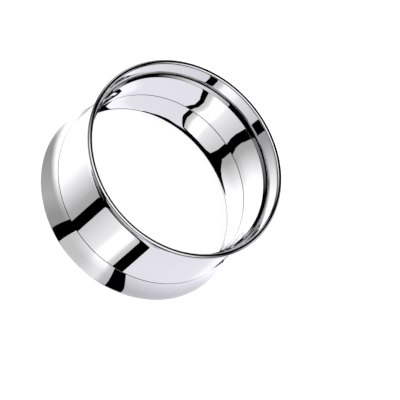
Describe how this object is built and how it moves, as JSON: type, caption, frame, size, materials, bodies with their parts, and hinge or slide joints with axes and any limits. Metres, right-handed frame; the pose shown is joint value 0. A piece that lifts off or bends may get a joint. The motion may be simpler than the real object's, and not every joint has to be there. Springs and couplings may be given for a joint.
{
  "type": "ear tunnel",
  "caption": "Hollow polished steel ear tunnel with flared rims; the lower flare has a threaded stub and unscrews from the barrel so it can be put through a stretched lobe.",
  "frame": {"origin": "on the tunnel's axis, in the plane that the lower rim rests on", "axes": "+Z along the axis, from the screw flare's rim up through the barrel to the body's lipped rim; X and Y are alike because the tunnel is turned"},
  "size_m": [0.0234, 0.0234, 0.0121],
  "materials": {
    "body_steel": "mirror-polished surgical steel, turned",
    "flare_steel": "mirror-polished surgical steel, turned"
  },
  "bodies": {
    "flare": {"screw_flare": "flare_steel"},
    "barrel": {"tunnel_body": "body_steel"}
  },
  "joints": [
    {"name": "unscrew", "type": "slide", "parent": "flare", "child": "barrel", "axis": [0, 0, 1], "range_m": [0, 0.006]}
  ]
}
